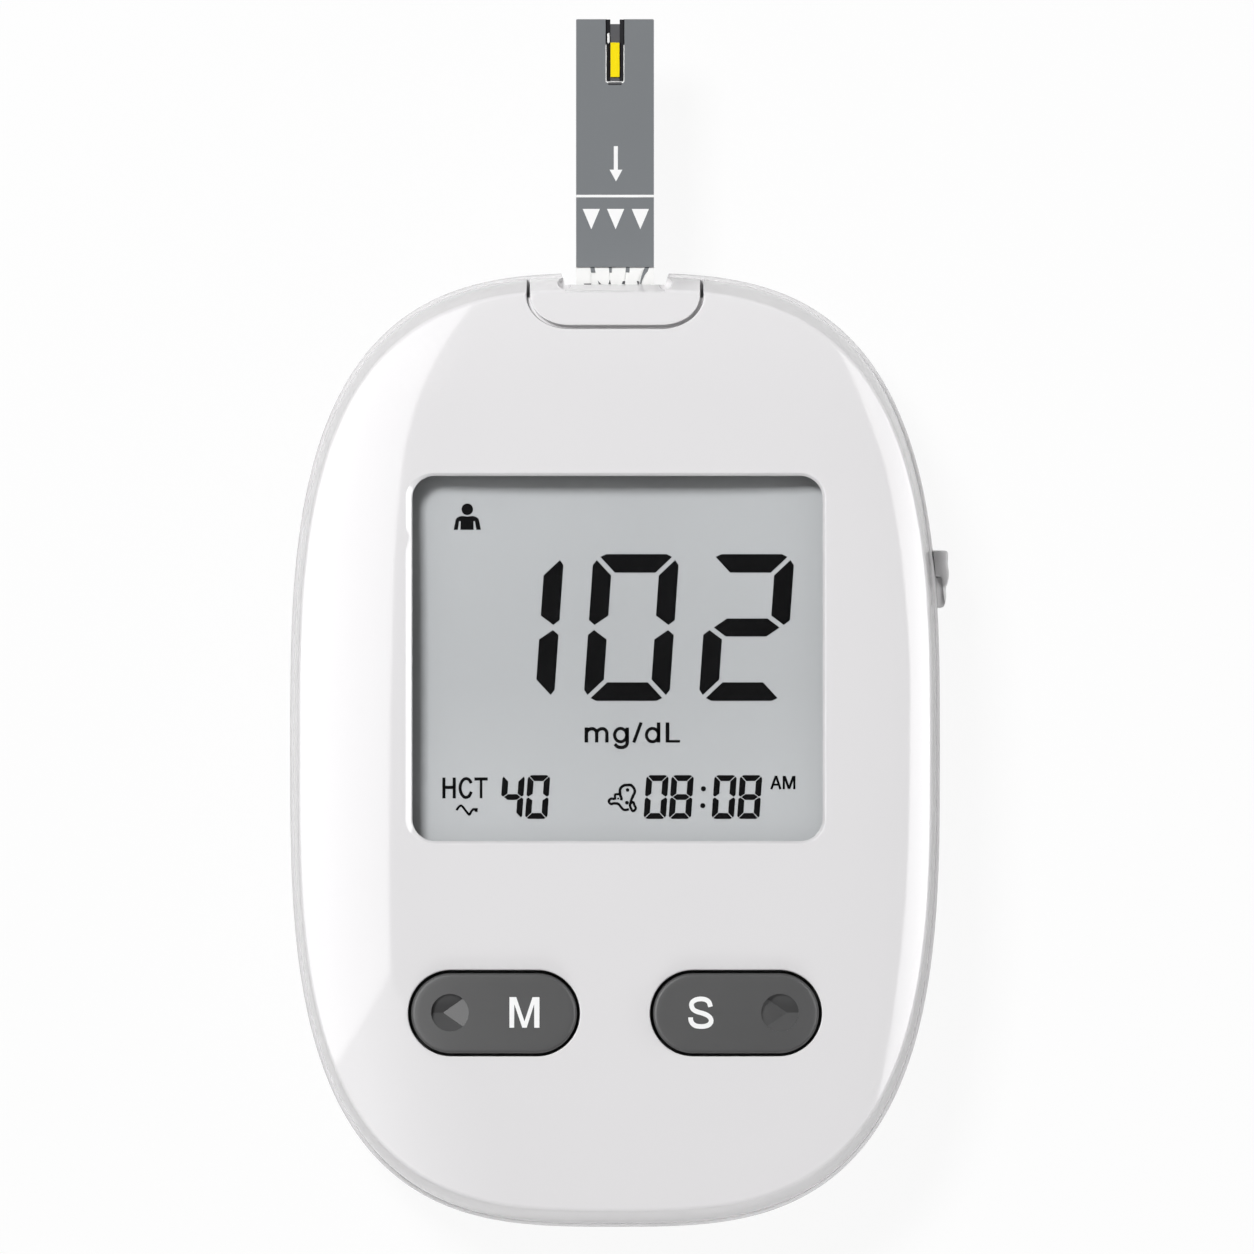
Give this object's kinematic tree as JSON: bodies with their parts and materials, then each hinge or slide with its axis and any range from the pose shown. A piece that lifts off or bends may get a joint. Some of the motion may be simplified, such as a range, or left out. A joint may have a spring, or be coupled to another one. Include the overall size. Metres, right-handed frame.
{
  "type": "blood glucose meter",
  "caption": "Handheld blood glucose meter with a display window, oblong push keys, a thumb ejector slider and a test strip in its end port.",
  "frame": {"origin": "middle of the body on the plane that its back rests on", "axes": "+X to the right of the display, +Y towards the strip port, +Z out of the display face"},
  "size_m": [0.0594, 0.1088, 0.0192],
  "materials": {
    "white_shell": "glossy white moulded plastic",
    "clear_lens": "clear hard-coated window",
    "steel": "plain zinc-plated or stainless steel",
    "display_glass": "grey reflective display glass",
    "black_plastic": "matte dark plastic",
    "grey_rubber": "soft grey elastomer",
    "board_laminate": "green solder mask on laminate",
    "chip_resin": "black moulding resin",
    "gilt_contact": "gilt spring metal",
    "grey_key": "satin grey key cap",
    "slider_grey": "satin light grey",
    "strip_film": "matte white polyester film",
    "strip_grey": "matte grey printed film",
    "reagent": "dry yellow reagent"
  },
  "bodies": {
    "housing": {"front_cover": "white_shell", "back_cover": "white_shell", "strip_port_cap": "white_shell", "display_lens": "clear_lens", "case_screw_1": "steel", "case_screw_2": "steel", "case_screw_3": "steel", "case_screw_4": "steel", "lcd_front_glass": "display_glass", "lcd_rear_glass": "display_glass", "lcd_frame": "black_plastic", "zebra_connector": "grey_rubber", "main_board": "board_laminate", "processor_chip": "chip_resin", "memory_chip": "chip_resin", "crystal": "steel", "buzzer": "chip_resin", "strip_connector": "black_plastic", "strip_contact_1": "gilt_contact", "strip_contact_2": "gilt_contact", "strip_contact_3": "gilt_contact", "strip_contact_4": "gilt_contact", "strip_contact_5": "gilt_contact", "memory_switch": "chip_resin", "set_switch": "chip_resin", "ejector_spring": "steel", "battery_cell": "steel", "battery_contact_negative": "gilt_contact", "battery_contact_positive": "gilt_contact"},
    "memory_key": {"memory_button": "grey_key", "memory_switch_plunger": "grey_rubber"},
    "set_key": {"set_button": "grey_key", "set_switch_plunger": "grey_rubber"},
    "ejector": {"ejector_slider": "slider_grey"},
    "test_strip": {"strip_base": "strip_film", "strip_electrodes": "strip_film", "strip_spacer": "strip_film", "strip_cover_film": "strip_grey", "strip_reagent_pad": "reagent"},
    "battery_hatch": {"battery_door": "white_shell"}
  },
  "joints": [
    {"name": "memory_press", "type": "slide", "parent": "housing", "child": "memory_key", "axis": [0, 0, -1], "range_m": [0, 0.0005], "stiffness_N_per_m": 4000, "springref_m": -0.0002},
    {"name": "set_press", "type": "slide", "parent": "housing", "child": "set_key", "axis": [0, 0, -1], "range_m": [0, 0.0005], "stiffness_N_per_m": 4000, "springref_m": -0.0002},
    {"name": "eject", "type": "slide", "parent": "housing", "child": "ejector", "axis": [0, 1, 0], "range_m": [0, 0.005], "stiffness_N_per_m": 300, "springref_m": -0.001, "deforming": ["ejector_spring"]},
    {"name": "strip_slide", "type": "slide", "parent": "ejector", "child": "test_strip", "axis": [0, 1, 0], "range_m": [0, 0.012]},
    {"name": "door_hinge", "type": "hinge", "parent": "housing", "child": "battery_hatch", "pos_m": [0, -0.00298, 0.0002], "axis": [1, 0, 0], "range_deg": [0, 75]}
  ]
}
